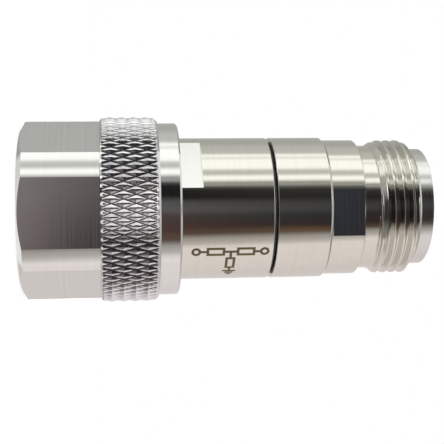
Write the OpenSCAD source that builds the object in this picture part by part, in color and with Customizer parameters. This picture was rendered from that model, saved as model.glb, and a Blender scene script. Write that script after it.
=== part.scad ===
// Coaxial fixed attenuator: plug with a coupling nut at the bottom, jack at the top, axis along Z.
// The nut's front face lies on Z = 0. All lengths are in millimetres.

/* [Coupling nut] */
// Length of the coupling nut
nut_len = 17.8; // [17:0.1:19]
// Length of the hexagon, from the front face
hex_len = 8.95; // [8:0.05:9.5]
// Width of the hexagon across its flats
hex_af = 19; // [18.8:0.1:20]
// Length of the knurled band
knurl_len = 6.55; // [5.5:0.05:7.5]
// Number of knurl grooves of each hand
knurl_starts = 68; // [60:2:80]
// Depth of the knurl grooves
knurl_depth = 0.25; // [0.1:0.05:0.4]
// Rows of half diamonds along the knurled band
knurl_rows = 5; // [3:1:7]
// Turn of the nut, from a flat that faces -Y
nut_angle = 1.9; // [-30:0.1:30]

/* [Body] */
// Outside diameter of the housing and the rear sleeve
body_d = 16.5; // [16.3:0.1:17]
// Length of the housing
housing_len = 10.3; // [9.8:0.1:12]
// Width of the groove between housing and rear sleeve
groove_w = 0.42; // [0.3:0.02:0.5]
// Length of the rear sleeve
sleeve_len = 6.1; // [5.6:0.1:8]
// Depth of each wrench flat below the body's outside
flat_depth = 0.75; // [0.4:0.05:0.85]
// Length of the housing's wrench flats
housing_flat_len = 2.4; // [1.5:0.1:4]
// Turn of the housing's wrench flats, from -Y
housing_flat_angle = -40.8; // [-90:0.1:90]

/* [Plug] */
// Depth of the contact sleeve's tip behind the nut's front face
tip_recess = 2.2; // [1.8:0.1:2.6]
// Axial float of the nut on its spring ring
nut_float = 0.4; // [0.2:0.05:0.5]
// Thickness of the face gasket
gasket_t = 1.2; // [0.8:0.1:1.4]

/* [Jack] */
// Step from the rear sleeve down to the jack's body, on the radius
jack_step = 0.25; // [0.1:0.05:0.4]
// Length of the jack's body
jack_body_len = 3.95; // [3.5:0.05:6]
// Turn of the jack's wrench flats, from -Y
jack_flat_angle = 4.9; // [-90:0.1:90]
// Length of the neck in front of the jack's body
neck_len = 1.8; // [1:0.1:2.5]
// Number of thread crests on the jack
thread_crests = 4; // [3:1:6]
// Length of the plain pilot at the jack's mouth
pilot_len = 1.45; // [1.2:0.05:2.5]

/* [Attenuator core] */
// Length of the ceramic card
card_len = 8; // [6:0.5:8.5]
// Width of the ceramic card
card_w = 6.4; // [5.6:0.2:7]
// Thickness of the ceramic card
card_t = 0.635; // [0.5:0.005:0.8]
// Thickness of the printed layers
film_t = 0.05; // [0.03:0.01:0.08]

/* [Hidden] */
$fn = 96;

// Fits: screwed and seated pieces, and running pieces
slip = 0.02;
run = 0.05;
// Overcut of a cutting tool past a face
cut = 1;
// Broken edges: sharp ones, those beside grooves, those of mouths, and the leads of spigots
edge = 0.06;
bevel = 0.14;
mouth_bevel = 0.2;
lead = 0.3;

// Coupling thread, 24 turns an inch on five eighths of an inch; the jack's crests lie inside
// the limits of a class 2A thread
thread_d = 15.875;
thread_pitch = 25.4 / 24;
thread_crest_r = thread_d / 2 - 0.0975;
thread_root_r = thread_d / 2 - 0.65;
thread_bore_r = 7.4;
thread_mouth = 0.75;
crest_half = 0.1;
flank_len = 0.38;
crest_setback = 0.5;

// Coaxial line of 50 ohm: 7.0 mm outer conductor, 3.04 mm inner conductor, 1.65 mm pin
line_r = 3.5;
centre_r = 1.52;
pin_r = 0.825;
socket_r = 0.84;
neck_r = 1.18;
sleeve_r = 4.04;
mouth_r = 4.09;
mating_depth = 9.1;
pin_recess = 0.9;
pin_shoulder = 5.28;
socket_reach = 5.2;

// Radii of the nut
land_r = hex_af / 2 + 0.75;
knurl_r = land_r + 0.47;
knurl_rim_r = land_r + 0.05;
collar_r = land_r - 0.25;
hex_face_r = hex_af / 2 - 0.25;
journal_r = 7.25;
ring_t = 1;
ring_gap = 2;
ring_r = [6.6, 7.68];
ring_groove_r = 7.95;
shell_groove_r = 6.1;
relief_r = 8.05;
relief_len = 1.4;
relief_setback = 1.4;
gasket_r = [sleeve_r + 0.15, journal_r - 0.25];

// Walls from the body's outside inwards: over the rear sleeve's spigot, over the shells' spigots,
// between these and the core's bore, and of the spacer rings in that bore
body_wall = 1.25;
spigot_wall = 0.75;
core_wall = 1.65;
spacer_wall = 1.1;
body_r = body_d / 2;
sleeve_spigot_r = body_r - body_wall;
shell_spigot_r = sleeve_spigot_r - spigot_wall;
core_r = shell_spigot_r - core_wall;
jack_r = body_r - jack_step;
flat_af = body_d - 2 * flat_depth;
seal_cord_r = 0.4;
seal_room = 0.03;

// Lengths inside the body: overlap of the rear sleeve's spigot, start of the jack's spigot,
// setbacks of the beads and of the clamped core from their shells
spigot_overlap = 3.2;
jack_spigot_setback = 0.9;
plug_bead_setback = 2.1;
jack_bead_setback = 1.7;
core_setback = 1.8;
core_end_setback = 3.6;
nut_gap = 0.1;
flat_setback = 0.25;
thread_runout = 0.86;
shoulder_len = 0.2;

// Stations along the axis
gasket_z = tip_recess + mating_depth - 0.1;
seat_z = gasket_z + gasket_t;
ring_z = (seat_z + nut_len) / 2;
housing_z = nut_len + nut_gap;
groove_z = housing_z + housing_len;
sleeve_z = groove_z + groove_w;
jack_z = sleeve_z + sleeve_len;
neck_z = jack_z + jack_body_len;
thread_z = neck_z + neck_len;
thread_end_z = thread_z + thread_crests * thread_pitch - shoulder_len;
pilot_z = thread_end_z + thread_runout;
end_z = pilot_z + pilot_len;
pilot_r = 6.865;
split_z = groove_z - spigot_overlap;
jack_spigot_z = sleeve_z + jack_spigot_setback;
bead_len = 3;
plug_bead_z = seat_z + plug_bead_setback;
core_z = housing_z + core_setback;
core_end_z = jack_z - core_end_setback;
mating_z = end_z - mating_depth;
jack_bead_z = mating_z - jack_bead_setback - bead_len;
card_z = (core_z + core_end_z - card_len) / 2;
grip_len = 1.2;
pad_reach = 0.3;
pad_len = grip_len + pad_reach;
card_top = card_t / 2 + film_t;
channel_r = 2.3;
film_w = 4.8;

// A turned piece from its half section, as pairs of radius and height
module turned(section) {
    rotate_extrude() polygon(section);
}

// The material outside a pair of wrench flats
module flats_cutter(angle, from_z, to_z) {
    rotate(angle)
        for (side = [-1, 1])
            translate([-body_d, side > 0 ? flat_af / 2 : -flat_af / 2 - body_d, from_z])
                cube([2 * body_d, body_d, to_z - from_z]);
}

// Drum with a diamond knurl: pyramids between two crossing families of grooves
module knurl_drum(z, length) {
    columns = 2 * knurl_starts;
    points = [for (q = [0 : knurl_rows]) for (p = [0 : columns - 1])
        let (rim = q == 0 || q == knurl_rows,
             r = rim ? knurl_rim_r : ((p + q) % 2 == 0 ? knurl_r - knurl_depth : knurl_r),
             a = p * 360 / columns)
        [r * cos(a), r * sin(a), z + length * q / knurl_rows]];
    sides = [for (q = [0 : knurl_rows - 1]) for (p = [0 : columns - 1])
        let (a = q * columns + p,
             b = q * columns + (p + 1) % columns,
             c = b + columns,
             d = a + columns)
        each ((p + q) % 2 == 0 ? [[a, c, b], [a, d, c]] : [[a, d, b], [b, d, c]])];
    bottom = [for (p = [0 : columns - 1]) p];
    top = [for (p = [columns - 1 : -1 : 0]) knurl_rows * columns + p];
    polyhedron(points, concat(sides, [bottom, top]));
}

// One piece: chamfered hexagon, knurled band and collar outside, thread bore and running bore inside
module coupling_nut() {
    chamfer = (land_r - hex_face_r) * tan(30);
    relief_z = seat_z - relief_setback - relief_len;
    collar_z = hex_len + knurl_len;
    color("gainsboro") rotate(nut_angle) difference() {
        union() {
            intersection() {
                cylinder(r = hex_af / 2 / cos(30), h = hex_len, $fn = 6);
                turned([[0, 0], [hex_face_r, 0], [land_r, chamfer], [land_r, hex_len], [0, hex_len]]);
            }
            knurl_drum(hex_len, knurl_len);
            turned([[0, collar_z], [collar_r, collar_z], [collar_r, nut_len - mouth_bevel],
                [collar_r - mouth_bevel, nut_len], [0, nut_len]]);
        }
        turned([[0, -cut], [thread_bore_r + thread_mouth + cut, -cut], [thread_bore_r, thread_mouth],
            [thread_bore_r, relief_z], [relief_r, relief_z], [relief_r, relief_z + relief_len],
            [journal_r + run, relief_z + relief_len], [journal_r + run, nut_len + cut],
            [0, nut_len + cut]]);
        translate([0, 0, ring_z - ring_t / 2 - run]) cylinder(r = ring_groove_r, h = ring_t + 2 * run);
    }
}

// Split spring ring, half in the plug shell's groove and half in the nut's
module nut_ring() {
    color("silver") translate([0, 0, ring_z - ring_t / 2]) difference() {
        cylinder(r = ring_r[1], h = ring_t);
        translate([0, 0, -cut]) cylinder(r = ring_r[0], h = ring_t + 2 * cut);
        translate([0, -ring_gap / 2, -cut]) cube([2 * ring_r[1], ring_gap, ring_t + 2 * cut]);
    }
}

// Flat ring that the mating jack's rim presses on
module face_gasket() {
    color("firebrick") turned([[gasket_r[0], gasket_z], [gasket_r[1], gasket_z],
        [gasket_r[1], seat_z], [gasket_r[0], seat_z]]);
}

// Contact sleeve, gasket seat, journal for the nut and screwed spigot
module plug_shell() {
    groove_from = ring_z - ring_t / 2 - nut_float - run;
    groove_to = ring_z + ring_t / 2;
    tip_lead = 2 * mouth_bevel;
    color("gainsboro") turned([[line_r, tip_recess + bevel], [line_r + bevel, tip_recess],
        [sleeve_r - mouth_bevel, tip_recess], [sleeve_r, tip_recess + tip_lead], [sleeve_r, seat_z],
        [journal_r, seat_z], [journal_r, groove_from], [shell_groove_r, groove_from],
        [shell_groove_r, groove_to], [journal_r, groove_to], [journal_r, housing_z],
        [shell_spigot_r, housing_z], [shell_spigot_r, split_z - lead],
        [shell_spigot_r - lead, split_z], [core_r, split_z], [core_r, plug_bead_z],
        [line_r, plug_bead_z]]);
}

// Slot of a centre contact's fork, which grips one end of the card
module fork_slot(from_z, length) {
    translate([-2 * centre_r, -card_t / 2, from_z]) cube([4 * centre_r, card_t + film_t, length]);
}

// Centre contact of the plug: pin, line, neck inside the bead and fork
module plug_pin() {
    tip_z = tip_recess + pin_recess;
    nose_r = [0.35, 0.6];
    nose_len = [0.15, 0.7];
    nose = [[nose_r[0], tip_z], [nose_r[1], tip_z + nose_len[0]], [pin_r, tip_z + nose_len[1]]];
    shoulder_z = tip_recess + pin_shoulder;
    neck_end_z = plug_bead_z + bead_len;
    fork_end_z = card_z + grip_len;
    color("gold") difference() {
        turned(concat([[0, tip_z]], nose, [[pin_r, shoulder_z], [centre_r - bevel, shoulder_z],
            [centre_r, shoulder_z + bevel], [centre_r, plug_bead_z], [neck_r, plug_bead_z],
            [neck_r, neck_end_z], [centre_r, neck_end_z], [centre_r, fork_end_z],
            [0, fork_end_z]]));
        fork_slot(card_z, grip_len + cut);
    }
}

// Insulator that carries a centre contact
module bead(z) {
    turned([[neck_r + slip, z], [core_r - slip, z], [core_r - slip, z + bead_len],
        [neck_r + slip, z + bead_len]]);
}

module plug_bead() {
    color("white") bead(plug_bead_z);
}

module jack_bead() {
    color("white") bead(jack_bead_z);
}

// Spacer ring between a bead and the clamped core
module bead_ring(from_z, to_z) {
    bore_r = core_r - spacer_wall;
    turned([[bore_r, from_z], [core_r - slip, from_z], [core_r - slip, to_z], [bore_r, to_z]]);
}

module plug_bead_ring() {
    color("silver") bead_ring(plug_bead_z + bead_len, core_z);
}

module jack_bead_ring() {
    color("silver") bead_ring(core_end_z, jack_bead_z);
}

// Barrel behind the nut, with a pair of wrench flats
module plug_housing() {
    r = body_r;
    seal_r = seal_seat_r(sleeve_spigot_r);
    seal_from = seal_floor_z(sleeve_z);
    color("lightgray") difference() {
        turned([[shell_spigot_r + slip, housing_z], [r - edge, housing_z], [r, housing_z + edge],
            [r, groove_z - bevel], [r - bevel, groove_z], [seal_r, groove_z], [seal_r, seal_from],
            [sleeve_spigot_r + slip, seal_from], [sleeve_spigot_r + slip, split_z],
            [shell_spigot_r + slip, split_z]]);
        flats_cutter(housing_flat_angle, housing_z - cut, housing_z + housing_flat_len);
    }
}

// Radius and depth of the seat of a cord ring that lies under a face at height z
function seal_seat_r(spigot_r) = spigot_r + slip + 2 * seal_cord_r + seal_room;
function seal_floor_z(z) = z - 2 * seal_cord_r - 2 * slip;

// Round cord ring whose inside touches a spigot
module seal(spigot_r, z) {
    rotate_extrude() translate([spigot_r + slip + seal_cord_r, z]) circle(r = seal_cord_r);
}

// Seal at the bottom of the groove between housing and rear sleeve
module joint_seal() {
    color("black") seal(sleeve_spigot_r, sleeve_z - seal_cord_r - slip);
}

// Seal between the rear sleeve and the jack shell
module jack_seal() {
    color("black") seal(shell_spigot_r, jack_z - seal_cord_r - slip);
}

// Ring behind the groove, with a spigot for the housing and a socket for the jack shell
module rear_sleeve() {
    r = body_r;
    seal_r = seal_seat_r(shell_spigot_r);
    seal_from = seal_floor_z(jack_z);
    color("lightgray") turned([[core_r, split_z], [sleeve_spigot_r - lead, split_z],
        [sleeve_spigot_r, split_z + lead], [sleeve_spigot_r, sleeve_z], [r - bevel, sleeve_z],
        [r, sleeve_z + bevel], [r, jack_z - bevel], [r - bevel, jack_z], [seal_r, jack_z],
        [seal_r, seal_from], [shell_spigot_r + slip, seal_from],
        [shell_spigot_r + slip, jack_spigot_z], [core_r, jack_spigot_z]]);
}

// Half-round block that grips the card's edges, grounds them and takes their heat
module clamp(side, face_y) {
    length = core_end_z - core_z;
    translate([0, 0, core_z]) difference() {
        cylinder(r = core_r - slip, h = length);
        translate([-2 * core_r, side > 0 ? face_y - 4 * core_r : face_y, -cut])
            cube([4 * core_r, 4 * core_r, length + 2 * cut]);
        translate([0, 0, -cut]) cylinder(r = channel_r, h = length + 2 * cut);
    }
}

module upper_clamp() {
    color("goldenrod") clamp(1, card_top);
}

module lower_clamp() {
    color("goldenrod") clamp(-1, -card_t / 2);
}

// Ceramic plate between the two clamps
module attenuator_card() {
    color("ivory") translate([-card_w / 2, -card_t / 2, card_z]) cube([card_w, card_t, card_len]);
}

// Resistive layer printed on the card, between its terminals
module resistor_film() {
    color("dimgray") translate([-film_w / 2, card_t / 2, card_z + pad_len])
        cube([film_w, film_t, card_len - 2 * pad_len]);
}

// Printed metal: one pad at each end of the card and one along each edge
module card_terminals() {
    edge_w = (card_w - film_w) / 2;
    color("silver") {
        for (z = [card_z, card_z + card_len - pad_len])
            translate([-centre_r, card_t / 2, z]) cube([2 * centre_r, film_t, pad_len]);
        for (x = [-card_w / 2, film_w / 2])
            translate([x, card_t / 2, card_z]) cube([edge_w, film_t, card_len]);
    }
}

// Centre contact of the jack: fork, neck inside the bead, line and slotted socket
module jack_socket() {
    fork_z = card_z + card_len - grip_len;
    neck_end_z = jack_bead_z + bead_len;
    tip_z = mating_z + socket_reach;
    tip_lead = 0.25;
    bore_len = 5.5;
    bore_cone = 0.4;
    slot_len = 4.6;
    slot_w = 0.25;
    color("gold") difference() {
        turned([[0, fork_z], [centre_r, fork_z], [centre_r, jack_bead_z], [neck_r, jack_bead_z],
            [neck_r, neck_end_z], [centre_r, neck_end_z], [centre_r, tip_z - tip_lead],
            [centre_r - tip_lead, tip_z], [socket_r + mouth_bevel, tip_z],
            [socket_r, tip_z - mouth_bevel], [socket_r, tip_z - bore_len],
            [0, tip_z - bore_len - bore_cone]]);
        fork_slot(fork_z - cut, grip_len + cut);
        for (angle = [45, 135])
            rotate(angle) translate([-2 * centre_r, -slot_w / 2, tip_z - slot_len])
                cube([4 * centre_r, slot_w, slot_len + cut]);
    }
}

// Crest of the outside thread, as radius and height pairs from its lower root to its upper root
function crest(z) = [[thread_root_r, z - crest_half - flank_len], [thread_crest_r, z - crest_half],
    [thread_crest_r, z + crest_half], [thread_root_r, z + crest_half + flank_len]];

// Screwed spigot, body with a pair of wrench flats, outside thread and mouth
module jack_shell() {
    r = jack_r;
    first_crest = thread_z + crest_setback;
    thread = [for (i = [0 : thread_crests - 1]) each crest(first_crest + i * thread_pitch)];
    color("lightgray") difference() {
        turned(concat([[core_r, jack_spigot_z], [shell_spigot_r - lead, jack_spigot_z],
            [shell_spigot_r, jack_spigot_z + lead], [shell_spigot_r, jack_z],
            [r - bevel, jack_z], [r, jack_z + bevel], [r, neck_z - edge], [r - edge, neck_z],
            [thread_root_r, neck_z]], thread,
            [[thread_root_r, pilot_z - shoulder_len], [pilot_r, pilot_z], [pilot_r, end_z - edge],
            [pilot_r - edge, end_z], [mouth_r + mouth_bevel, end_z], [mouth_r, end_z - mouth_bevel],
            [mouth_r, mating_z], [line_r, mating_z], [line_r, jack_bead_z + bead_len],
            [core_r, jack_bead_z + bead_len]]));
        flats_cutter(jack_flat_angle, jack_z + flat_setback, neck_z + bevel);
    }
}

coupling_nut();
nut_ring();
face_gasket();
plug_shell();
plug_pin();
plug_bead();
plug_bead_ring();
plug_housing();
joint_seal();
rear_sleeve();
upper_clamp();
lower_clamp();
attenuator_card();
resistor_film();
card_terminals();
jack_bead_ring();
jack_bead();
jack_socket();
jack_seal();
jack_shell();
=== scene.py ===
# Coaxial rf attenuator in a photographer's light tent. Lengths are millimetres, angles degrees.
import math

import bmesh
import bpy
from mathutils import Matrix, Vector


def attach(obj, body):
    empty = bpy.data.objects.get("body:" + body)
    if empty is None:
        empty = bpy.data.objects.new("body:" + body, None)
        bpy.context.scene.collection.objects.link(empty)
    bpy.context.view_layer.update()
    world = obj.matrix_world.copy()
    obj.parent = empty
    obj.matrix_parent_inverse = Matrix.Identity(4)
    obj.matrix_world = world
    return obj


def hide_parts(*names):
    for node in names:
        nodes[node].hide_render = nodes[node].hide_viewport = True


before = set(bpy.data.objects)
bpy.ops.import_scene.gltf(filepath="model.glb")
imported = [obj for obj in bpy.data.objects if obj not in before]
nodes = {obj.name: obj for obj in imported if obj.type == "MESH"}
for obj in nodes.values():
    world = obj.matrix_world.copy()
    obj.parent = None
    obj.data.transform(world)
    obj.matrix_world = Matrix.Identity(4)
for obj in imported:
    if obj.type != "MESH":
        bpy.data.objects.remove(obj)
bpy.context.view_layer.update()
scene = bpy.context.scene
MM = 0.001

# Sizes of the coupling nut, from the CAD model or refined after the photograph
NUT_TURN, NUT_LEN, COLLAR_R, COLLAR_Z, COLLAR_EDGE = 1.9, 17.8, 10.0, 15.5, 0.2
HEX_HALF = (9.5, 9.5, 9.6, 9.5, 9.5, 9.6)
LAND_R, HEX_FACE_R, HEX_LEN, HEX_CHAMFER = 10.25, 9.25, 8.95, 30
KNURL_STARTS, KNURL_R, KNURL_DEPTH, KNURL_PERIOD = 68, 10.72, 0.26, 2.68
KNURL_STEPS, KNURL_RIM, KNURL_START_R, KNURL_END_R = 12, (0.2, 0.4), 10.3, 10.25
# The third number is the height over the knurl's groove floor that is painted dark, partly as grime and
# partly as painted shade
RIDGE_WEAR, FLANK_SHARE, GRIME_AND_SHADE_RISE = 0.11, 0.78, 0.08
JOURNAL_BORE_R, RING_GROOVE_R, RING_GROOVE_Z = 7.3, 7.95, (14.55, 15.65)
RELIEF_R, RELIEF_Z, NUT_CREST_R, NUT_ROOT_R = 8.05, (9.6, 11.0), 7.4, 7.9
NUT_MOUTH_R, NUT_MOUTH_DEPTH = 8.15, 0.75

# Sizes of the housing, rear sleeve and jack shell
BODY_R, FLAT_HALF, JACK_R, BODY_COLUMNS = 8.25, 7.5, 7.95, 288
HOUSING_Z, HOUSING_FLAT_Z, GROOVE_Z, SLEEVE_Z = 17.9, 20.3, 28.2, 28.62
JACK_Z, NECK_Z, THREAD_Z, THREAD_END_Z = 34.72, 38.67, 40.35, 45.13
SPLIT_Z, JACK_SPIGOT_Z, MATING_Z, JACK_BEAD_Z = 25.0, 29.52, 37.713, 36.013
PILOT_R, PILOT_Z, END_Z = 6.865, 45.363, 46.813
PITCH, THREAD_R, ROOT_R, FIRST_CREST = 25.4 / 24, 7.92, 7.2875, 41.04
HOUSING_FLAT, JACK_FLAT = -40.8, 4.9
EDGE, NECK_EDGE, BEVEL, LEAD, SEAL_DEPTH, JACK_FLAT_Z = 0.06, 0.11, 0.14, 0.3, 0.84, 34.97
LIP, THREAD_END_R, CREST_EDGE, RUN_IN, RUN_OUT = 0.06, 7.1, 0.03, 0.65, 1.8
CORE_R, SLEEVE_SPIGOT_R, SLEEVE_SEAL_R, SPIGOT_SEAT_R = 4.6, 7.0, 7.1, 6.27
JACK_SPIGOT_R, JACK_MOUTH_R, JACK_LINE_R, MOUTH_EDGE = 6.25, 4.09, 3.5, 0.2


# Mesh helpers

def at(r, a, z):
    """Point at radius r, angle a from -Y towards +X, and height z."""
    t = math.radians(a)
    return (r * math.sin(t) * MM, -r * math.cos(t) * MM, z * MM)


def columns(count, edges=()):
    """Angles round the axis, with the nearest ones moved onto the edges of flats."""
    out = [360 * i / count for i in range(count + 1)]
    for e in edges:
        out[round(e % 360 / 360 * count)] = e % 360
    return out


def ring(cols, r, z):
    """One ring of a skin: radius and height are numbers or functions of the angle."""
    return [(r(a) if callable(r) else r, a, z(a) if callable(z) else z) for a in cols]


def skin(rings, closed=True, turn=0.0, fold=None):
    """Points and faces through rings of equal count, outward when the outside goes up."""
    n = len(rings[0])
    points = [at(r, a + turn, z) for row in rings for r, a, z in row]
    faces = []
    for i in range(len(rings) - (0 if closed else 1)):
        k = (i + 1) % len(rings)
        for j in range(n - 1):
            a, b, c, d = i * n + j, i * n + j + 1, k * n + j + 1, k * n + j
            way = fold(i, j) if fold else None
            if way is None:
                faces.append((a, b, c, d))
            elif way:
                faces += [(a, b, d), (b, c, d)]
            else:
                faces += [(a, b, c), (a, c, d)]
    return points, faces


def piece(name, points, faces, body, materials, node=None, pick=None, sharp=15):
    """Mesh object that rides on a body, with sharp edges kept and a material picked for each face."""
    mesh = bpy.data.meshes.new(name)
    mesh.from_pydata(points, [], faces)
    bm = bmesh.new()
    bm.from_mesh(mesh)
    bmesh.ops.remove_doubles(bm, verts=bm.verts, dist=4e-7)
    bmesh.ops.dissolve_degenerate(bm, edges=bm.edges, dist=1e-7)
    bm.to_mesh(mesh)
    bm.free()
    mesh.shade_smooth()
    mesh.set_sharp_from_angle(angle=math.radians(sharp))
    for m in materials:
        mesh.materials.append(m)
    if pick:
        for p in mesh.polygons:
            p.material_index = pick(p.center / MM, p.normal)
    obj = bpy.data.objects.new(name, mesh)
    scene.collection.objects.link(obj)
    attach(obj, body)
    if node:
        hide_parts(node)


def flat_limit(normals, half):
    """Radius of the nearest flat's plane at an angle."""
    def limit(a):
        best = max(math.cos(math.radians(a - n)) for n in normals)
        return half / best if best > 0.5 else 99.0
    return limit


def on_flat(normals, half):
    """Picks material 1 for faces that lie on a flat's plane."""
    def pick(c, n):
        for a in normals:
            t = math.radians(a)
            if abs(c.x * math.sin(t) - c.y * math.cos(t) - half) < 0.004 and abs(n.z) < 0.2:
                return 1
        return 0
    return pick


def flat_edges(normals, half, r):
    """Angles where flats meet a cylinder of radius r."""
    open_angle = math.degrees(math.acos(half / r))
    return [n + s * open_angle for n in normals for s in (-1, 1)]


def finer(shape, parts):
    """A thread's shape with each of its lines cut into equal parts."""
    out = []
    for (s0, r0), (s1, r1) in zip(shape, shape[1:]):
        out += [(s0 + (s1 - s0) * i / parts, r0 + (r1 - r0) * i / parts) for i in range(parts)]
    return out + shape[-1:]


def helix_rings(cols, z_lo, z_hi, phase, shape, r_lo, r_hi, rise_lo, rise_hi):
    """Rings along a right-hand thread; shape gives shares of the pitch and radii over one turn."""
    rows = []
    for turn in range(math.floor((z_lo - phase) / PITCH) - 1, math.ceil((z_hi - phase) / PITCH) + 1):
        for share, radius in shape:
            row = []
            for a in cols:
                z = min(max(phase + (turn + share + a / 360) * PITCH, z_lo), z_hi)
                r = min(radius, r_lo + (z - z_lo) * rise_lo, r_hi + (z_hi - z) * rise_hi)
                row.append((r, a, z))
            rows.append(row)
    return rows


# Materials

class Nodes:
    """A new material's node tree, with short calls for its nodes."""

    def __init__(self, name):
        self.material = bpy.data.materials.new(name)
        self.material.use_nodes = True
        self.tree = self.material.node_tree

    def node(self, kind, inputs=None, **settings):
        n = self.tree.nodes.new(kind)
        for key, value in settings.items():
            setattr(n, key, value)
        for key, value in (inputs or {}).items():
            if isinstance(value, bpy.types.NodeSocket):
                self.tree.links.new(value, n.inputs[key])
            else:
                n.inputs[key].default_value = value
        return n

    def place(self):
        """Object coordinates in millimetres."""
        c = self.node("ShaderNodeTexCoord").outputs["Object"]
        return self.node("ShaderNodeVectorMath", {0: c, "Scale": 1000.0}, operation="SCALE").outputs[0]

    def axes(self, place):
        split = self.node("ShaderNodeSeparateXYZ", {0: place})
        return [split.outputs[k] for k in "XYZ"]

    def math(self, operation, a, b=0.0):
        return self.node("ShaderNodeMath", {0: a, 1: b}, operation=operation).outputs[0]

    def noise(self, vector, scale, detail=3.0):
        return self.node("ShaderNodeTexNoise", {"Vector": vector, "Scale": scale, "Detail": detail,
                                               "Roughness": 0.55}).outputs["Fac"]

    def line_noise(self, w, scale, detail=3.0, rough=0.6):
        return self.node("ShaderNodeTexNoise", {"W": w, "Scale": scale, "Detail": detail,
                                               "Roughness": rough}, noise_dimensions="1D").outputs["Fac"]

    def ranged(self, value, lo, hi, to_lo, to_hi):
        return self.node("ShaderNodeMapRange", {"Value": value, "From Min": lo, "From Max": hi,
                                               "To Min": to_lo, "To Max": to_hi}).outputs["Result"]

    def mix(self, fac, a, b):
        n = self.node("ShaderNodeMix", data_type="RGBA")
        for key, value in (("Factor", fac), ("A", a), ("B", b)):
            socket = next(s for s in n.inputs if s.name == key and s.enabled)
            if isinstance(value, bpy.types.NodeSocket):
                self.tree.links.new(value, socket)
            else:
                socket.default_value = value
        return next(s for s in n.outputs if s.enabled)


class Shader(Nodes):
    """Principled material."""

    def __init__(self, name, **values):
        super().__init__(name)
        self.bsdf = self.tree.nodes["Principled BSDF"]
        for key, value in values.items():
            self.bsdf.inputs[key.replace("_", " ")].default_value = value

    def link(self, socket, name):
        self.tree.links.new(socket, self.bsdf.inputs[name])

    def bump(self, height, distance):
        n = self.node("ShaderNodeBump", {"Height": height, "Distance": distance, "Strength": 1.0})
        self.link(n.outputs["Normal"], "Normal")


class Bare(Nodes):
    """Material that starts with its output alone."""

    def __init__(self, name):
        super().__init__(name)
        self.tree.nodes.clear()
        self.out = self.node("ShaderNodeOutputMaterial")

    def surface(self, shader):
        self.tree.links.new(shader.outputs[0], self.out.inputs["Surface"])


def grey(c, k=1.0):
    return (c[0] * k, c[1] * k, c[2] * k, 1.0)


def turned_metal(name, colour, rough, lines=1.0, anisotropic=0.6):
    """Lathe-turned metal: fine rings round the axis and faint smudges."""
    s = Shader(name, Metallic=1.0, Anisotropic=anisotropic, Anisotropic_Rotation=0.25)
    p = s.place()
    z = s.axes(p)[2]
    coarse = s.line_noise(z, 1.7, 2.0)
    fine = s.line_noise(z, 11.0, 3.0, 0.7)
    smudge = s.noise(p, 0.22)
    tone = s.math("ADD", s.math("MULTIPLY", coarse, 0.45), s.math("MULTIPLY", fine, 0.55))
    undarkened = s.mix(s.ranged(tone, 0.3, 0.7, 0.0, 1.0), grey(colour, 1.0 - 0.03 * lines),
                  grey(colour, 1.0 + 0.03 * lines))
    s.link(s.mix(s.ranged(smudge, 0.52, 0.75, 0.0, 0.12), undarkened, grey(colour, 0.8)), "Base Color")
    s.link(s.math("ADD", s.ranged(tone, 0.3, 0.7, rough * 0.85, rough * 1.15),
                  s.ranged(smudge, 0.5, 0.8, 0.0, 0.05)), "Roughness")
    s.bump(fine, 1.2e-6 * lines)
    s.link(s.node("ShaderNodeTangent", direction_type="RADIAL", axis="Z").outputs["Tangent"], "Tangent")
    return s.material


def milled_metal(name, colour, rough, lines, spread):
    """Milled flat: straight cutter lines across the axis, of uneven strength."""
    s = Shader(name, Metallic=1.0, Anisotropic=0.2, Anisotropic_Rotation=0.25)
    p = s.place()
    x, y, z = s.axes(p)
    fine = s.line_noise(z, 3.0, 4.0, 0.8)
    scaled = [s.math("MULTIPLY", k, stretch) for k, stretch in ((x, 0.12), (y, 0.12), (z, 3.0))]
    stretched = s.node("ShaderNodeCombineXYZ", dict(enumerate(scaled))).outputs[0]
    patch = s.noise(stretched, 1.0)
    tone = s.math("ADD", s.math("MULTIPLY", fine, 0.6), s.math("MULTIPLY", patch, 0.4))
    shade = s.mix(s.ranged(tone, 0.35, 0.65, 0.0, 1.0), grey(colour, 1.0 - spread),
                  grey(colour, 1.0 + spread))
    s.link(shade, "Base Color")
    s.link(s.ranged(tone, 0.35, 0.65, rough * (1 - 0.2 * lines), rough * (1 + 0.3 * lines)), "Roughness")
    s.bump(fine, 0.6e-6 * lines)
    s.link(s.node("ShaderNodeTangent", direction_type="RADIAL", axis="Z").outputs["Tangent"], "Tangent")
    return s.material


def knurled_metal(name, colour, rough):
    """Knurled metal: bright worn diamonds, and grooves painted dark, partly as grime and partly as painted
    shade of the recess.
    """
    s = Shader(name, Metallic=1.0)
    p = s.place()
    x, y = s.axes(p)[:2]
    r = s.math("SQRT", s.math("ADD", s.math("MULTIPLY", x, x), s.math("MULTIPLY", y, y)))
    # Painted shade and grime: the base colour falls to a tenth at the groove floor and comes back over a
    # small height above it
    floor_r = KNURL_R - KNURL_DEPTH
    speck = s.ranged(s.noise(p, 5.0), 0.3, 0.7, -GRIME_AND_SHADE_RISE / 4, GRIME_AND_SHADE_RISE / 4)
    undarkened = s.ranged(s.math("ADD", r, speck), floor_r, floor_r + GRIME_AND_SHADE_RISE, 0.0, 1.0)
    s.link(s.mix(undarkened, grey(colour, 0.1), grey(colour)), "Base Color")
    s.link(s.ranged(undarkened, 0.0, 1.0, 0.4, rough), "Roughness")
    s.bump(s.noise(p, 6.0), 1.2e-5)
    return s.material


def cast_stuff(name, colour, rough, scale, spread, depth, metallic=0.0, **values):
    """Even stuff with a grain: plastic, rubber, ceramic, plating or brass."""
    s = Shader(name, Metallic=metallic, **values)
    p = s.place()
    grain = s.noise(p, scale, 4.0)
    shade = s.mix(s.ranged(grain, 0.3, 0.7, 0.0, 1.0), grey(colour, 1.0 - spread),
                  grey(colour, 1.0 + spread))
    s.link(shade, "Base Color")
    s.link(s.ranged(grain, 0.3, 0.7, rough * 0.85, rough * 1.15), "Roughness")
    s.bump(grain, depth)
    return s.material


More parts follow.
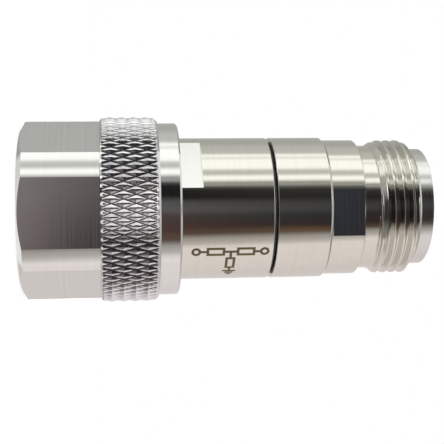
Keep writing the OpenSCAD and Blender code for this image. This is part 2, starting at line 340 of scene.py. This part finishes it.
NUT_STEEL = (0.73, 0.73, 0.725)
BODY_STEEL = (0.70, 0.69, 0.64)
steel_nut = turned_metal("nut_turned", NUT_STEEL, 0.08)
steel_body = turned_metal("body_turned", BODY_STEEL, 0.085)
steel_pilot = turned_metal("pilot_turned", (0.69, 0.69, 0.675), 0.2)
steel_inside = turned_metal("inside_turned", BODY_STEEL, 0.22, 1.4)
steel_knurl = knurled_metal("nut_knurled", (0.76, 0.755, 0.785), 0.12)
steel_hex = milled_metal("hexagon_milled", (0.65, 0.65, 0.645), 0.15, 0.9, 0.045)
steel_flat = milled_metal("housing_flat_milled", (0.71, 0.71, 0.70), 0.12, 1.0, 0.03)
steel_jack_flat = milled_metal("jack_flat_milled", (0.62, 0.67, 0.74), 0.12, 1.6, 0.2)
spring = turned_metal("spring_ring", (0.55, 0.55, 0.54), 0.3, 0.6, 0.0)
gold = cast_stuff("gold_plate", (0.83, 0.60, 0.24), 0.2, 3.0, 0.05, 6e-7, 1.0)
brass = cast_stuff("clamp_brass", (0.76, 0.58, 0.30), 0.3, 2.0, 0.08, 1e-6, 1.0)
silver = cast_stuff("terminal_print", (0.80, 0.79, 0.77), 0.4, 14.0, 0.06, 1e-6, 1.0)
ptfe = cast_stuff("insulator", (0.86, 0.86, 0.83), 0.42, 1.3, 0.02, 2e-6, Subsurface_Weight=0.15,
                  Subsurface_Scale=0.001)
ceramic = cast_stuff("ceramic", (0.82, 0.81, 0.77), 0.6, 9.0, 0.03, 2e-6)
film = cast_stuff("resistor_film", (0.035, 0.034, 0.033), 0.55, 16.0, 0.2, 2e-6)
rubber = cast_stuff("gasket_rubber", (0.36, 0.065, 0.04), 0.62, 5.0, 0.12, 5e-6)
seal = cast_stuff("seal_rubber", (0.16, 0.16, 0.16), 0.5, 5.0, 0.2, 4e-6)
burnt = cast_stuff("burnt_mark", (0.19, 0.14, 0.065), 0.5, 8.0, 0.25, 1e-6, 0.3)

for node, material in {
        "nut_ring": spring, "face_gasket": rubber, "plug_shell": steel_inside, "plug_pin": gold,
        "plug_bead": ptfe, "plug_bead_ring": steel_inside, "joint_seal": seal, "upper_clamp": brass,
        "lower_clamp": brass, "attenuator_card": ceramic, "resistor_film": film, "card_terminals": silver,
        "jack_bead_ring": steel_inside, "jack_bead": ptfe, "jack_socket": gold, "jack_seal": seal}.items():
    obj = nodes[node]
    if not obj.material_slots:
        obj.data.materials.append(material)
    for slot in obj.material_slots:
        slot.material = material


# Coupling nut

def hex_r(a):
    k = round(a / 60)
    return min(LAND_R, HEX_HALF[k % 6] / math.cos(math.radians(a - 60 * k)))


def knurl_place(a, z):
    """Place inside a knurl diamond: shares of its pitch round and along the axis, from its centre."""
    u = (a - 90) * KNURL_STARTS / 360
    v = (z - COLLAR_Z) / KNURL_PERIOD
    rise, fall = (u + v) % 1 - 0.5, (u - v) % 1 - 0.5
    return (rise + fall) / 2, (rise - fall) / 2


def knurl_r(a, z):
    """Radius on the knurl: straight flanks and a worn ridge along each diamond."""
    across, along = knurl_place(a, z)
    worn = RIDGE_WEAR * (1 - 4 * along ** 2) ** 2
    peak = max(0.0, 1 - 2 * max(abs(across), worn) - 2 * abs(along)) / FLANK_SHARE
    left_bevel = KNURL_START_R + 2 * (z - HEX_LEN)
    right_bevel = KNURL_END_R + COLLAR_Z - z
    return min(KNURL_R - KNURL_DEPTH * (1 - peak), left_bevel, right_bevel)


def nut_outside(outer, hexed, heights):
    """Rings from the front face over the hexagon and the knurl to the collar's back edge."""
    slope = math.tan(math.radians(HEX_CHAMFER))
    front = [ring(outer, HEX_FACE_R, 0.0),
             ring(hexed, hex_r, lambda a: (hex_r(a) - HEX_FACE_R) * slope),
             ring(hexed, hex_r, HEX_LEN)]
    knurl = [ring(outer, lambda a, z=z: knurl_r(a, z), z) for z in heights]
    back = [ring(outer, COLLAR_R, COLLAR_Z), ring(outer, COLLAR_R, NUT_LEN - COLLAR_EDGE),
            ring(outer, COLLAR_R - COLLAR_EDGE, NUT_LEN)]
    return front, knurl + back


def nut_bore(cols):
    """Rings from the back through the journal, the ring's groove, the relief and the thread to the mouth."""
    foot, flat = 0.44, 0.09
    shape = [(-foot, NUT_CREST_R), (-flat, NUT_ROOT_R), (flat, NUT_ROOT_R), (foot, NUT_CREST_R)]
    groove_from, groove_to = RING_GROOVE_Z
    relief_from, relief_to = RELIEF_Z
    bore = [ring(cols, r, z) for r, z in (
        (JOURNAL_BORE_R, NUT_LEN), (JOURNAL_BORE_R, groove_to), (RING_GROOVE_R, groove_to),
        (RING_GROOVE_R, groove_from), (JOURNAL_BORE_R, groove_from), (JOURNAL_BORE_R, relief_to),
        (RELIEF_R, relief_to), (RELIEF_R, relief_from), (NUT_CREST_R, relief_from))]
    thread = helix_rings(cols, NUT_MOUTH_DEPTH, relief_from, 0.0, shape, NUT_CREST_R, NUT_CREST_R, 1.0, 2.0)
    return bore + thread[::-1] + [ring(cols, NUT_CREST_R, NUT_MOUTH_DEPTH), ring(cols, NUT_MOUTH_R, 0.0)]


def coupling_nut():
    count, stitch = KNURL_STARTS * KNURL_STEPS, 4
    outer = columns(count)
    edges = [e for k, half in enumerate(HEX_HALF) for e in flat_edges([60 * k], half, LAND_R)]
    hexed = columns(count, edges)
    inner = columns(count // stitch)
    step = KNURL_PERIOD / KNURL_STEPS
    rows = math.ceil((COLLAR_Z - HEX_LEN) / step)
    heights = [HEX_LEN] + [COLLAR_Z - i * step for i in range(rows)][::-1]
    front, rest = nut_outside(outer, hexed, heights)
    first = len(front)

    def fold(i, j):
        if not first <= i < first + len(heights) - 1:
            return None
        z = (heights[i - first] + heights[i - first + 1]) / 2
        across, along = knurl_place((outer[j] + outer[j + 1]) / 2, z)
        return across * along > 0

    points, faces = skin(front + rest, False, NUT_TURN, fold)
    start = len(points)
    more, bore_faces = skin(nut_bore(inner), False, NUT_TURN)
    faces += [tuple(i + start for i in f) for f in bore_faces]
    points += more
    # Both end faces join each inner column to several outer ones
    top = start - len(outer)
    low = len(points) - len(inner)
    for k in range(len(inner) - 1):
        rim = [stitch * k + i for i in range(stitch + 1)]
        faces.append((*rim[::-1], low + k, low + k + 1))
        faces.append((*[top + i for i in rim], start + k + 1, start + k))
    flats = [on_flat([NUT_TURN + 60 * k], half) for k, half in enumerate(HEX_HALF)]

    def pick(c, n):
        outside = math.hypot(c.x, c.y) > HEX_FACE_R
        if outside and HEX_LEN + KNURL_RIM[0] < c.z < COLLAR_Z - KNURL_RIM[1]:
            return 2
        return max(flat(c, n) for flat in flats) if c.z < HEX_LEN else 0

    piece("coupling_nut_dressed", points, faces, "nut", [steel_nut, steel_hex, steel_knurl],
          "coupling_nut", pick, 20)


coupling_nut()


# Housing, rear sleeve and jack shell

def plug_housing():
    normals = [HOUSING_FLAT, HOUSING_FLAT + 180]
    cols = columns(BODY_COLUMNS, flat_edges(normals, FLAT_HALF, BODY_R))
    limit = flat_limit(normals, FLAT_HALF)
    seat, seal_r = 7.02, 7.85

    def cut(r):
        return lambda a: min(r, limit(a))

    rings = [ring(cols, SPIGOT_SEAT_R, HOUSING_Z), ring(cols, cut(BODY_R - EDGE), HOUSING_Z),
             ring(cols, cut(BODY_R), lambda a: HOUSING_Z + max(0.0, cut(BODY_R)(a) - BODY_R + EDGE)),
             ring(cols, cut(BODY_R), HOUSING_FLAT_Z), ring(cols, BODY_R, HOUSING_FLAT_Z),
             ring(cols, BODY_R, GROOVE_Z - LIP)]
    rings += [ring(cols, r, z) for r, z in (
        (BODY_R - LIP / 2, GROOVE_Z - LIP / 4), (BODY_R - BEVEL, GROOVE_Z), (seal_r, GROOVE_Z),
        (seal_r, SLEEVE_Z - SEAL_DEPTH), (seat, SLEEVE_Z - SEAL_DEPTH), (seat, SPLIT_Z),
        (SPIGOT_SEAT_R, SPLIT_Z))]
    points, faces = skin(rings)
    piece("plug_housing_dressed", points, faces, "attenuator", [steel_body, steel_flat],
          "plug_housing", on_flat(normals, FLAT_HALF))


def rear_sleeve():
    cols = columns(BODY_COLUMNS)
    seal_z = JACK_Z - SEAL_DEPTH
    rings = [ring(cols, r, z) for r, z in (
        (CORE_R, SPLIT_Z), (SLEEVE_SPIGOT_R - LEAD, SPLIT_Z), (SLEEVE_SPIGOT_R, SPLIT_Z + LEAD),
        (SLEEVE_SPIGOT_R, SLEEVE_Z), (BODY_R - BEVEL, SLEEVE_Z), (BODY_R - LIP / 2, SLEEVE_Z + LIP / 4),
        (BODY_R, SLEEVE_Z + LIP), (BODY_R, JACK_Z - BEVEL), (BODY_R - BEVEL, JACK_Z),
        (SLEEVE_SEAL_R, JACK_Z), (SLEEVE_SEAL_R, seal_z), (SPIGOT_SEAT_R, seal_z),
        (SPIGOT_SEAT_R, JACK_SPIGOT_Z), (CORE_R, JACK_SPIGOT_Z))]
    points, faces = skin(rings)
    piece("rear_sleeve_dressed", points, faces, "attenuator", [steel_body], "rear_sleeve")


def jack_shell():
    normals = [JACK_FLAT, JACK_FLAT + 180]
    cols = columns(BODY_COLUMNS, flat_edges(normals, FLAT_HALF, JACK_R))
    limit = flat_limit(normals, FLAT_HALF)

    def body(a):
        return min(JACK_R, limit(a))

    rings = [ring(cols, r, z) for r, z in (
        (CORE_R, JACK_SPIGOT_Z), (JACK_SPIGOT_R - LEAD, JACK_SPIGOT_Z), (JACK_SPIGOT_R, JACK_SPIGOT_Z + LEAD),
        (JACK_SPIGOT_R, JACK_Z), (JACK_R - BEVEL, JACK_Z), (JACK_R, JACK_Z + BEVEL), (JACK_R, JACK_FLAT_Z))]
    rings += [ring(cols, body, JACK_FLAT_Z), ring(cols, body, NECK_Z - NECK_EDGE),
              ring(cols, lambda a: body(a) - NECK_EDGE, NECK_Z), ring(cols, ROOT_R, NECK_Z)]
    foot, shoulder, flat_top, flank_parts = 0.45, 0.105, 0.075, 4
    rise = [(-foot, ROOT_R), (-shoulder, THREAD_R - CREST_EDGE), (-flat_top, THREAD_R)]
    shape = finer(rise + [(-share, r) for share, r in rise[::-1]], flank_parts)
    rings += helix_rings(cols, THREAD_Z, THREAD_END_Z, FIRST_CREST, shape, ROOT_R, THREAD_END_R, RUN_IN,
                         RUN_OUT)
    rings += [ring(cols, r, z) for r, z in (
        (THREAD_END_R, THREAD_END_Z), (PILOT_R, PILOT_Z), (PILOT_R, END_Z - EDGE), (PILOT_R - EDGE, END_Z),
        (JACK_MOUTH_R + MOUTH_EDGE, END_Z), (JACK_MOUTH_R, END_Z - MOUTH_EDGE), (JACK_MOUTH_R, MATING_Z),
        (JACK_LINE_R, MATING_Z), (JACK_LINE_R, JACK_BEAD_Z), (CORE_R, JACK_BEAD_Z))]
    points, faces = skin(rings)
    flat = on_flat(normals, FLAT_HALF)

    def pick(c, n):
        return 2 if c.z > PILOT_Z and math.hypot(c.x, c.y) > PILOT_R - EDGE else flat(c, n)

    piece("jack_shell_dressed", points, faces, "attenuator",
          [steel_body, steel_jack_flat, steel_pilot], "jack_shell", pick)


plug_housing()
rear_sleeve()
jack_shell()


# Burnt mark on the housing: the usual sign of a T pad, with ports, resistors and ground

MARK_ANGLE, MARK_R, STROKE = 25.0, (8.24, 8.262), 0.3
PORT_R, RESISTOR_HALF = 0.4, 0.42


def ribbon(pairs, closed=False):
    """Thin curved strip through pairs of places, each a height and a length round the housing."""
    def spot(r, place):
        return at(r, MARK_ANGLE + math.degrees(place[1] / BODY_R), place[0])
    points = [spot(r, place) for pair in pairs for r in MARK_R for place in pair]
    faces = []
    for i in range(len(pairs) - (0 if closed else 1)):
        a, b = 4 * i, 4 * ((i + 1) % len(pairs))
        for k, n in ((0, 1), (1, 3), (3, 2), (2, 0)):
            faces.append((a + k, a + n, b + n, b + k))
    if not closed:
        last = 4 * (len(pairs) - 1)
        faces += [(0, 2, 3, 1), (last, last + 1, last + 3, last + 2)]
    return points, faces


def along(z0, z1, s):
    """Stroke along the axis."""
    return ribbon([((z, s - STROKE / 2), (z, s + STROKE / 2)) for z in (z0, z1)])


def around(z, s0, s1):
    """Stroke round the housing."""
    steps = max(2, math.ceil((s1 - s0) / STROKE))
    lengths = [s0 + (s1 - s0) * i / steps for i in range(steps + 1)]
    return ribbon([((z + STROKE / 2, s), (z - STROKE / 2, s)) for s in lengths])


def frame_strokes(z0, z1, s0, s1):
    """Outline of a resistor."""
    half = STROKE / 2
    return [along(z0 - half, z1 + half, s0), along(z0 - half, z1 + half, s1),
            around(z0, s0 + half, s1 - half), around(z1, s0 + half, s1 - half)]


def port(z, s):
    """Small ring."""
    count = 24
    turns = [math.radians(360 / count * i) for i in range(count)]
    spread = (PORT_R + STROKE / 2, PORT_R - STROKE / 2)
    return ribbon([[(z + r * math.cos(t), s + r * math.sin(t)) for r in spread] for t in turns], True)


def housing_mark():
    """Two resistors in line between the ports, and a third one from their middle to ground."""
    line, half = 1.6, STROKE / 2
    first, middle, last = 19.5, 23.4, 27.2
    boxes = (20.8, 22.6), (24.2, 26.0)
    shunt_from, shunt_to, ground, ground_step = 2.6, 4.2, 5.0, 0.42
    gap = half - 0.01
    links = ((first + PORT_R + gap, boxes[0][0] - gap), (boxes[0][1] + gap, boxes[1][0] - gap),
             (boxes[1][1] + gap, last - PORT_R - gap))
    strokes = [port(first, line), port(last, line)]
    for z0, z1 in boxes:
        strokes += frame_strokes(z0, z1, line - RESISTOR_HALF, line + RESISTOR_HALF)
    strokes += [along(z0, z1, line) for z0, z1 in links]
    strokes += frame_strokes(middle - RESISTOR_HALF, middle + RESISTOR_HALF, shunt_from, shunt_to)
    for s0, s1 in ((line, shunt_from), (shunt_to, ground)):
        strokes.append(around(middle, s0 + half, s1 - half))
    for i, reach in enumerate((0.75, 0.48, 0.22)):
        strokes.append(along(middle - reach, middle + reach, ground + ground_step * i))
    points, faces = [], []
    for more, sides in strokes:
        start = len(points)
        points += more
        faces += [tuple(i + start for i in f) for f in sides]
    piece("housing_mark", points, faces, "attenuator", [burnt])


housing_mark()


# Light tent, floor, world and camera

def stage_object(name, points, faces, materials, indices=None):
    mesh = bpy.data.meshes.new(name)
    mesh.from_pydata(points, [], faces)
    for m in materials:
        mesh.materials.append(m)
    for p, i in zip(mesh.polygons, indices or []):
        p.material_index = i
    obj = bpy.data.objects.new(name, mesh)
    scene.collection.objects.link(obj)
    return obj


TENT_R, TENT_FROM, TENT_TO, STAGE_SIDES = 500.0, -400.0, 600.0, 96
FLOOR_R, FLOOR_Z = 440.0, -0.02

# Light of the tent by its angle above the camera, in degrees
TENT_STOPS = (
    (-180, (0.74, 0.69, 0.68)), (-130, (0.83, 0.77, 0.755)), (-105, (0.91, 0.845, 0.825)),
    (-64, (0.97, 0.90, 0.88)), (-56, (0.60, 0.56, 0.53)), (-47, (0.42, 0.385, 0.36)),
    (-40, (0.12, 0.088, 0.068)), (-28, (0.06, 0.039, 0.034)), (-14, (0.053, 0.044, 0.043)),
    (-8, (0.066, 0.060, 0.060)), (-3, (0.090, 0.088, 0.090)), (8, (0.078, 0.077, 0.077)),
    (17, (0.022, 0.021, 0.02)), (30, (0.032, 0.031, 0.03)), (34, (0.12, 0.12, 0.115)),
    (37.5, (0.44, 0.44, 0.415)),
    (41.5, (0.36, 0.36, 0.34)), (47, (1.38, 1.38, 1.33)), (51, (1.38, 1.38, 1.33)),
    (56, (0.72, 0.72, 0.68)), (61.5, (0.70, 0.70, 0.67)), (68, (1.38, 1.38, 1.33)),
    (82, (1.38, 1.38, 1.33)), (88, (1.06, 1.06, 1.02)), (94, (1.36, 1.36, 1.31)),
    (100, (0.70, 0.70, 0.67)), (118, (0.62, 0.62, 0.59)), (132, (0.50, 0.50, 0.47)),
    (180, (0.48, 0.48, 0.46)))

# Patches on the tent: middle, inner and outer reach of the angle in radians and of z, then a tint
TENT_PATCHES = (
    ((-0.13, 0.04, 0.09), (0.0, 12.0, 45.0), (0.16, 0.22, 0.24)),
    ((0.42, 0.12, 0.2), (40.0, 10.0, 25.0), (0.5, 0.5, 0.5)),
    ((0.42, 0.12, 0.2), (140.0, 30.0, 50.0), (1.35, 1.35, 1.35)),
    ((-0.35, 0.3, 0.36), (0.0, 40.0, 75.0), (1.12, 0.93, 0.87)),
    ((-0.3, 0.16, 0.24), (130.0, 20.0, 45.0), (0.85, 1.02, 1.14)),
    ((-0.6, 0.06, 0.1), (130.0, 17.0, 26.0), (1.6, 1.3, 0.95)),
    ((-1.2, 0.3, 0.55), (-230.0, 110.0, 160.0), (0.68, 0.69, 0.7)),
    ((-0.05, 0.35, 0.55), (-230.0, 110.0, 160.0), (0.55, 0.55, 0.56)),
    ((-0.55, 0.2, 0.35), (-230.0, 110.0, 160.0), (1.3, 1.7, 2.0)))


def near(m, value, middle, inner, outer):
    """One within the inner distance of a middle value, falling to nothing at the outer one."""
    return m.ranged(m.math("ABSOLUTE", m.math("SUBTRACT", value, middle)), inner, outer, 1.0, 0.0)


def tent_end(name, light):
    """Pale cloth over one end of the tent, lighter at the top; light gives its strength at a place."""
    m = Bare(name)
    place = m.axes(m.place())
    level = m.math("MULTIPLY", light(m, place), m.ranged(place[0], -250.0, 250.0, 1.3, 0.7))
    m.surface(m.node("ShaderNodeEmission", {"Color": (1.0, 1.0, 0.98, 1.0), "Strength": level}))
    return m.material


def plug_light(m, place):
    """Bright behind the object, dimmer far behind it, and a dark card towards the camera."""
    x, y = place[:2]
    card = m.math("MULTIPLY", near(m, x, 60.0, 120.0, 320.0), m.ranged(y, -330.0, -230.0, 1.0, 0.0))
    dim = m.math("MULTIPLY", m.ranged(y, 150.0, 230.0, 0.0, 1.0), m.ranged(x, -120.0, 120.0, 0.45, 0.05))
    cloth = m.math("MULTIPLY", m.ranged(y, -150.0, -105.0, 0.35, 1.25), m.math("SUBTRACT", 1.0, dim))
    return m.math("MULTIPLY", cloth, m.ranged(card, 0.0, 1.0, 1.0, 0.12))


def jack_light(m, place):
    """Bright bar between the object and the camera."""
    return m.ranged(near(m, place[1], -210.0, 40.0, 120.0), 0.0, 1.0, 0.75, 1.35)


def tent_bands(m, angle, z):
    """Colour round the axis from the stops; the lower edges of the cards run slightly askew to the axis."""
    askew = m.math("ADD", m.math("MULTIPLY", m.math("MAXIMUM", z, -60.0), 0.0008), 0.928)
    low_part = m.math("MULTIPLY", m.math("MINIMUM", angle, 0.0), askew)
    edge = m.math("ADD", m.math("MAXIMUM", angle, 0.0), low_part)
    ramp = m.node("ShaderNodeValToRGB", {"Fac": m.ranged(edge, -math.pi, math.pi, 0.0, 1.0)})
    band = ramp.color_ramp
    while len(band.elements) < len(TENT_STOPS):
        band.elements.new(0.5)
    for element, stop in zip(band.elements, TENT_STOPS):
        element.position = (stop[0] + 180) / 360
    for element, stop in zip(band.elements, TENT_STOPS):
        element.color = (*stop[1], 1.0)
    return ramp.outputs["Color"]


def tent_level(m, angle, z):
    """Strength of the wall: a front card darker towards the jack, folds, and less light at the ends."""
    card = near(m, angle, -0.16, 0.38, 0.55)
    fall = m.math("DIVIDE", 192.0, m.math("MAXIMUM", m.math("ADD", z, 95.0), 50.0))
    level = m.math("ADD", 1.0, m.math("MULTIPLY", card, m.math("SUBTRACT", fall, 1.0)))
    folds = m.ranged(m.line_noise(angle, 40.0, 3.0), 0.3, 0.7, 0.89, 1.11)
    reach = m.ranged(m.math("ABSOLUTE", m.math("SUBTRACT", z, 90.0)), 150.0, 320.0, 1.0, 0.85)
    return m.math("MULTIPLY", m.math("MULTIPLY", level, folds), reach)


def tent_wall():
    """Cloth round the axis, with dark cards round the camera and bright strips above it."""
    m = Bare("tent_wall")
    x, y, z = m.axes(m.place())
    angle = m.math("ARCTAN2", m.math("MULTIPLY", x, -1.0), m.math("MULTIPLY", y, -1.0))
    colour = tent_bands(m, angle, z)
    for reach, height, tint in TENT_PATCHES:
        where = m.math("MULTIPLY", near(m, angle, *reach), near(m, z, *height))
        tinted = m.node("ShaderNodeVectorMath", {0: colour, 1: tint}, operation="MULTIPLY")
        colour = m.mix(where, colour, tinted.outputs[0])
    m.surface(m.node("ShaderNodeEmission", {"Color": colour, "Strength": tent_level(m, angle, z)}))
    return m.material


def tent():
    """Tube of cloth round the axis, closed by an end of its own at the plug and at the jack."""
    n = STAGE_SIDES
    points = [at(TENT_R, 360 * i / n, z) for z in (TENT_FROM, TENT_TO) for i in range(n)]
    faces = [(i, i + n, (i + 1) % n + n, (i + 1) % n) for i in range(n)]
    faces += [tuple(range(n)), tuple(range(2 * n - 1, n - 1, -1))]
    materials = [tent_wall(), tent_end("tent_plug_end", plug_light), tent_end("tent_jack_end", jack_light)]
    obj = stage_object("light_tent", points, faces, materials, [0] * n + [1, 2])
    obj.visible_camera = False


def floor():
    """Pale floor that keeps the shadow and isn't mirrored in the metal."""
    points = [at(FLOOR_R, 360 * i / STAGE_SIDES, FLOOR_Z) for i in range(STAGE_SIDES)]
    m = Bare("pale_floor")
    paint = m.node("ShaderNodeBsdfDiffuse", {"Color": (0.86, 0.86, 0.86, 1.0)})
    seen = m.node("ShaderNodeLightPath").outputs["Is Camera Ray"]
    glow = m.node("ShaderNodeEmission", {"Strength": m.math("MULTIPLY", seen, 0.6)})
    m.surface(m.node("ShaderNodeAddShader", {0: paint.outputs[0], 1: glow.outputs[0]}))
    obj = stage_object("pale_floor", points, [tuple(range(STAGE_SIDES))], [m.material])
    obj.visible_glossy = False


tent()
floor()

world = bpy.data.worlds.new("white_studio")
world.use_nodes = True
background = world.node_tree.nodes["Background"]
background.inputs["Color"].default_value = (1.0, 1.0, 1.0, 1.0)
background.inputs["Strength"].default_value = 1.0
scene.world = world
scene.view_settings.view_transform = "Standard"

# The camera lies on its side, so that the axis runs across the picture
CAMERA_Y, CAMERA_Z = -116.66, 9.95
yaw, pitch, roll = 0.1129, -0.01385, -0.012
forward = Vector((-math.sin(pitch), math.cos(yaw) * math.cos(pitch), math.sin(yaw) * math.cos(pitch)))
right0 = Vector((0.0, -math.sin(yaw), math.cos(yaw)))
up0 = right0.cross(forward)
right = right0 * math.cos(roll) + up0 * math.sin(roll)
up = up0 * math.cos(roll) - right0 * math.sin(roll)
lens = bpy.data.cameras.new("camera")
lens.lens, lens.sensor_width, lens.clip_start, lens.clip_end = 80.5, 36.0, 0.001, 10.0
camera = bpy.data.objects.new("camera", lens)
scene.collection.objects.link(camera)
camera.matrix_world = Matrix((
    (right.x, up.x, -forward.x, 0.0), (right.y, up.y, -forward.y, CAMERA_Y * MM),
    (right.z, up.z, -forward.z, CAMERA_Z * MM), (0.0, 0.0, 0.0, 1.0)))
scene.camera = camera
